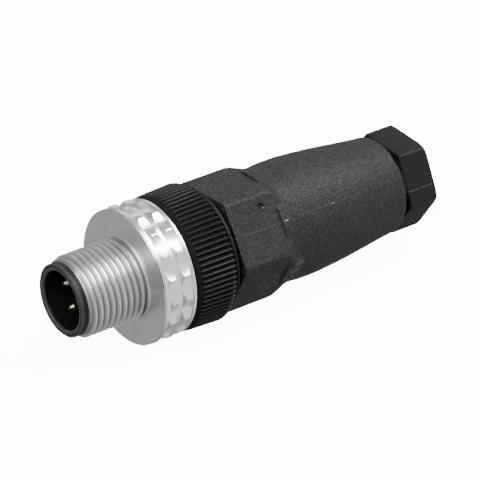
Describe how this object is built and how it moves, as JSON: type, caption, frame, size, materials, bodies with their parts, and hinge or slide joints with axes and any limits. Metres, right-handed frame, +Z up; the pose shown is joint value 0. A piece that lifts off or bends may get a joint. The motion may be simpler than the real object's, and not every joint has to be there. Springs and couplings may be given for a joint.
{
  "type": "circular connector",
  "caption": "Straight male M12 circular connector with metal coupling nut, ribbed body, hexagonal housing and cable gland.",
  "frame": {"origin": "on the connector's axis, in the middle of the coupling thread's full length", "axes": "+X along the axis towards the cable gland, -X out of the mating end, +Z up with the connector lying on its side"},
  "size_m": [0.0618, 0.0206, 0.0206],
  "materials": {
    "carrier_plastic": "moulded black polyamide",
    "grip_plastic": "moulded black polyamide, ribbed",
    "housing_plastic": "spark-textured dark grey polyamide",
    "gland_plastic": "smooth dark grey polyamide",
    "cage_plastic": "moulded black polyamide",
    "nickel_plate": "satin nickel-plated die casting",
    "contact_gold": "gold-plated brass",
    "screw_steel": "zinc-plated steel",
    "spring_steel": "oiled spring steel",
    "seal_rubber": "matt nitrile rubber"
  },
  "bodies": {
    "carrier_body": {"contact_carrier": "carrier_plastic", "grip_body": "grip_plastic", "friction_ring": "seal_rubber", "retaining_clip": "spring_steel", "contact_pin_1": "contact_gold", "contact_pin_2": "contact_gold", "contact_pin_3": "contact_gold", "contact_pin_4": "contact_gold"},
    "coupling": {"coupling_nut": "nickel_plate"},
    "seal_slide": {"housing_seal": "seal_rubber"},
    "housing_body": {"housing": "housing_plastic", "gland_seal": "seal_rubber"},
    "cage_slide": {"clamping_cage": "cage_plastic"},
    "gland_nut": {"pressure_nut": "gland_plastic"},
    "screw_1": {"terminal_screw_1": "screw_steel"},
    "screw_2": {"terminal_screw_2": "screw_steel"},
    "screw_3": {"terminal_screw_3": "screw_steel"},
    "screw_4": {"terminal_screw_4": "screw_steel"}
  },
  "joints": [
    {"name": "coupling_turn", "type": "hinge", "parent": "carrier_body", "child": "coupling", "pos_m": [0, 0, 0], "axis": [1, 0, 0], "continuous": true},
    {"name": "housing_travel", "type": "slide", "parent": "carrier_body", "child": "seal_slide", "axis": [1, 0, 0], "range_m": [0, 0.005]},
    {"name": "housing_turn", "type": "hinge", "parent": "seal_slide", "child": "housing_body", "pos_m": [0.02, 0, 0], "axis": [1, 0, 0], "range_deg": [0, 1800]},
    {"name": "gland_travel", "type": "slide", "parent": "housing_body", "child": "cage_slide", "axis": [1, 0, 0], "range_m": [0, 0.00381]},
    {"name": "gland_turn", "type": "hinge", "parent": "cage_slide", "child": "gland_nut", "pos_m": [0.05, 0, 0], "axis": [1, 0, 0], "range_deg": [0, 1080]},
    {"name": "screw_1_turn", "type": "hinge", "parent": "carrier_body", "child": "screw_1", "pos_m": [0.02885, -0.00176, 0.00414], "axis": [0, -0.3907, 0.9205], "range_deg": [-1080, 360]},
    {"name": "screw_2_turn", "type": "hinge", "parent": "carrier_body", "child": "screw_2", "pos_m": [0.02885, 0.00414, 0.00176], "axis": [0, 0.9205, 0.3907], "range_deg": [-1080, 360]},
    {"name": "screw_3_turn", "type": "hinge", "parent": "carrier_body", "child": "screw_3", "pos_m": [0.02885, 0.00176, -0.00414], "axis": [0, 0.3907, -0.9205], "range_deg": [-1080, 360]},
    {"name": "screw_4_turn", "type": "hinge", "parent": "carrier_body", "child": "screw_4", "pos_m": [0.02885, -0.00414, -0.00176], "axis": [0, -0.9205, -0.3907], "range_deg": [-1080, 360]}
  ],
  "couplings": [
    {"joint": "housing_travel", "follows": "housing_turn", "m_per_rad": 0.00015915},
    {"joint": "gland_travel", "follows": "gland_turn", "m_per_rad": 0.0002021}
  ]
}
